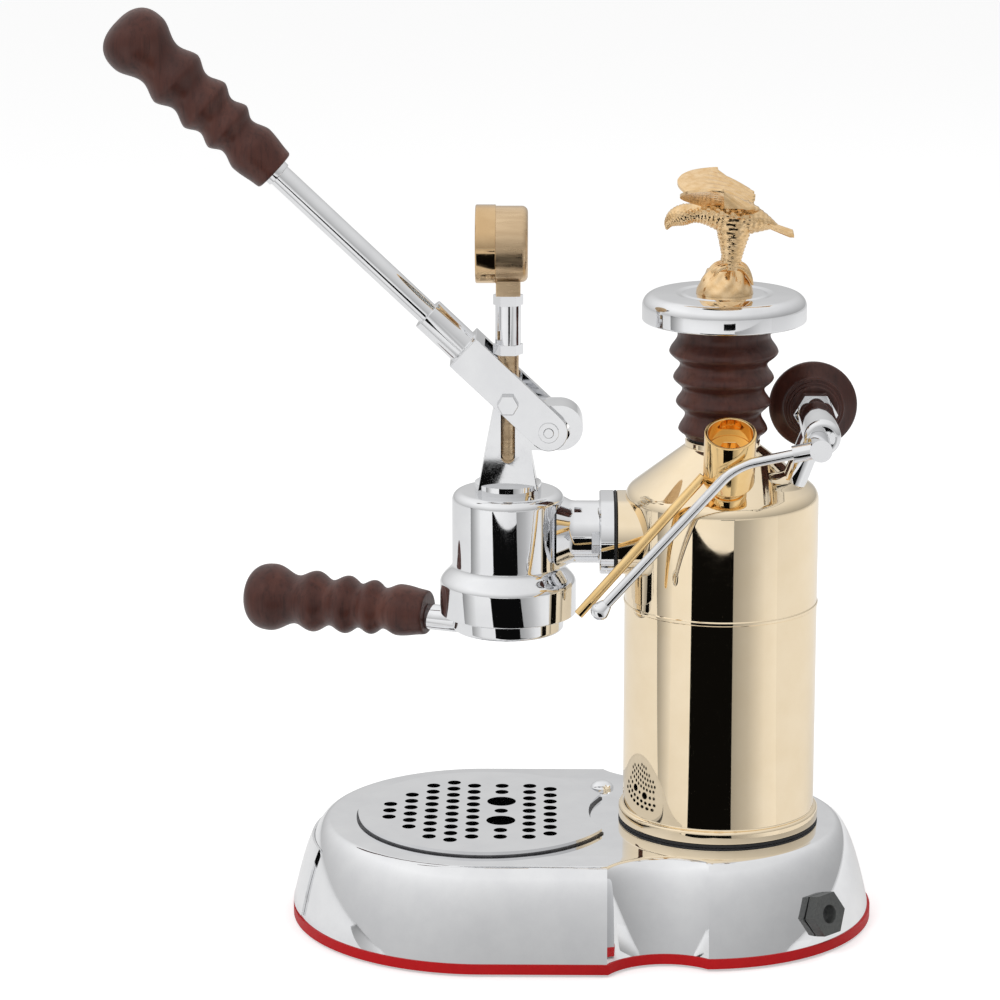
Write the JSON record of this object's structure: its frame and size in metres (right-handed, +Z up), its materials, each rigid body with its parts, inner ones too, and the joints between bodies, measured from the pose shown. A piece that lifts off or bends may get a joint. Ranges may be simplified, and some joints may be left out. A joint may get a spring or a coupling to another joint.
{
  "type": "lever espresso machine",
  "caption": "Manual lever espresso machine with upright boiler, lever group with portafilter, steam wand, pressure gauge, screw cap with bird finial and drip tray base.",
  "frame": {"origin": "on the floor, under the middle of the base", "axes": "+X to the rear (the boiler's side), -X to the user, +Y to the user's left, +Z up"},
  "size_m": [0.3778, 0.193, 0.4572],
  "materials": {
    "chrome": "polished chrome plate",
    "boiler_brass": "polished pale brass",
    "gold_brass": "polished yellow brass",
    "gauge_brass": "brushed brass",
    "steel": "plain steel",
    "wood": "oiled dark hardwood",
    "red_trim": "glossy red band",
    "black_rubber": "matte black",
    "grey_plastic": "matte dark grey",
    "black_plastic": "glossy black",
    "dial_white": "plain pale enamel",
    "glass": "clear",
    "zinc": "plain sheet"
  },
  "bodies": {
    "base": {"base_shell": "chrome", "base_trim": "red_trim", "base_plate": "zinc", "rubber_feet": "black_rubber", "plate_screws": "steel", "front_plate": "chrome", "cord_gland": "grey_plastic", "switch_frame": "black_plastic", "pilot_lamp": "chrome", "pressure_switch": "black_plastic", "boiler_lock_ring": "steel", "boiler_gasket": "black_rubber", "boiler_shell": "boiler_brass", "heating_element": "steel", "sight_glass_tube": "glass", "sight_glass_fittings": "gold_brass", "flange_gasket": "black_rubber", "flange_bolts": "steel", "group_body": "chrome", "group_yoke": "chrome", "piston_sleeve": "steel", "shower_screen": "steel", "group_seal": "black_rubber", "rod_bush": "gold_brass", "safety_valve_body": "gold_brass", "safety_valve_screw": "gold_brass", "safety_valve_spring": "steel", "relief_pipe": "gold_brass", "steam_valve_stub": "chrome", "steam_valve_body": "chrome"},
    "cap_seal": {"cap_gasket": "black_rubber"},
    "filler_cap": {"cap_plug": "gold_brass", "cap_grip": "wood", "cap_plate": "chrome", "cap_finial": "gold_brass"},
    "steam_knob": {"steam_knob": "wood", "steam_spindle": "steel"},
    "steam_wand": {"wand_swivel": "chrome", "wand_pipe": "chrome", "wand_nozzle": "chrome"},
    "piston": {"piston_rod": "steel", "piston_head": "gold_brass", "piston_seals": "black_rubber", "gauge_stem": "gauge_brass", "gauge_case": "gauge_brass", "gauge_bezel": "gold_brass", "gauge_dial": "dial_white", "gauge_glass": "glass"},
    "gauge_needle": {"gauge_needle": "black_plastic"},
    "lever": {"lever_fork": "chrome", "lever_rod": "chrome", "lever_grip": "wood", "fulcrum_pin": "steel", "rod_pin": "chrome"},
    "portafilter": {"portafilter_body": "chrome", "portafilter_grip": "wood", "filter_basket": "steel"},
    "switch": {"switch_rocker": "black_plastic"},
    "drip_tray": {"drip_tray": "chrome"},
    "drip_grille": {"drip_grille": "chrome"}
  },
  "joints": [
    {"name": "piston_slide", "type": "slide", "parent": "base", "child": "piston", "axis": [0, 0, 1], "range_m": [-0.0275, 0.0025]},
    {"name": "lever_swing", "type": "hinge", "parent": "piston", "child": "lever", "pos_m": [-0.037, 0, 0.26599], "axis": [0, -1, 0], "range_deg": [-5, 67]},
    {"name": "gauge_needle_turn", "type": "hinge", "parent": "piston", "child": "gauge_needle", "pos_m": [-0.037, 0, 0.343], "axis": [1, 0, 0], "range_deg": [0, 270], "stiffness_Nm_per_rad": 0.0004},
    {"name": "cap_lift", "type": "slide", "parent": "base", "child": "cap_seal", "axis": [0, 0, 1], "range_m": [0, 0.008]},
    {"name": "cap_turn", "type": "hinge", "parent": "cap_seal", "child": "filler_cap", "pos_m": [0.0687, 0, 0.2475], "axis": [0, 0, 1], "range_deg": [0, 1440]},
    {"name": "steam_knob_turn", "type": "hinge", "parent": "base", "child": "steam_knob", "pos_m": [0.1145, 0, 0.2575], "axis": [0, 1, 0], "range_deg": [0, 540]},
    {"name": "steam_wand_swing", "type": "hinge", "parent": "base", "child": "steam_wand", "pos_m": [0.1125, -0.0644, 0.2558], "axis": [0, -1, 0], "range_deg": [0, 100]},
    {"name": "portafilter_turn", "type": "hinge", "parent": "base", "child": "portafilter", "pos_m": [-0.037, 0, 0.16], "axis": [0, 0, -1], "range_deg": [-12, 40]},
    {"name": "switch_rock", "type": "hinge", "parent": "base", "child": "switch", "pos_m": [-0.022, 0.08892, 0.02547], "axis": [0, 0.2631, -0.9648], "range_deg": [0, 14]},
    {"name": "tray_lift", "type": "slide", "parent": "base", "child": "drip_tray", "axis": [0, 0, 1], "range_m": [0, 0.04]},
    {"name": "grille_lift", "type": "slide", "parent": "drip_tray", "child": "drip_grille", "axis": [0, 0, 1], "range_m": [0, 0.03]}
  ],
  "couplings": [
    {"joint": "piston_slide", "follows": "lever_swing", "m_per_rad": -0.023},
    {"joint": "cap_lift", "follows": "cap_turn", "m_per_rad": 0.00031791}
  ]
}
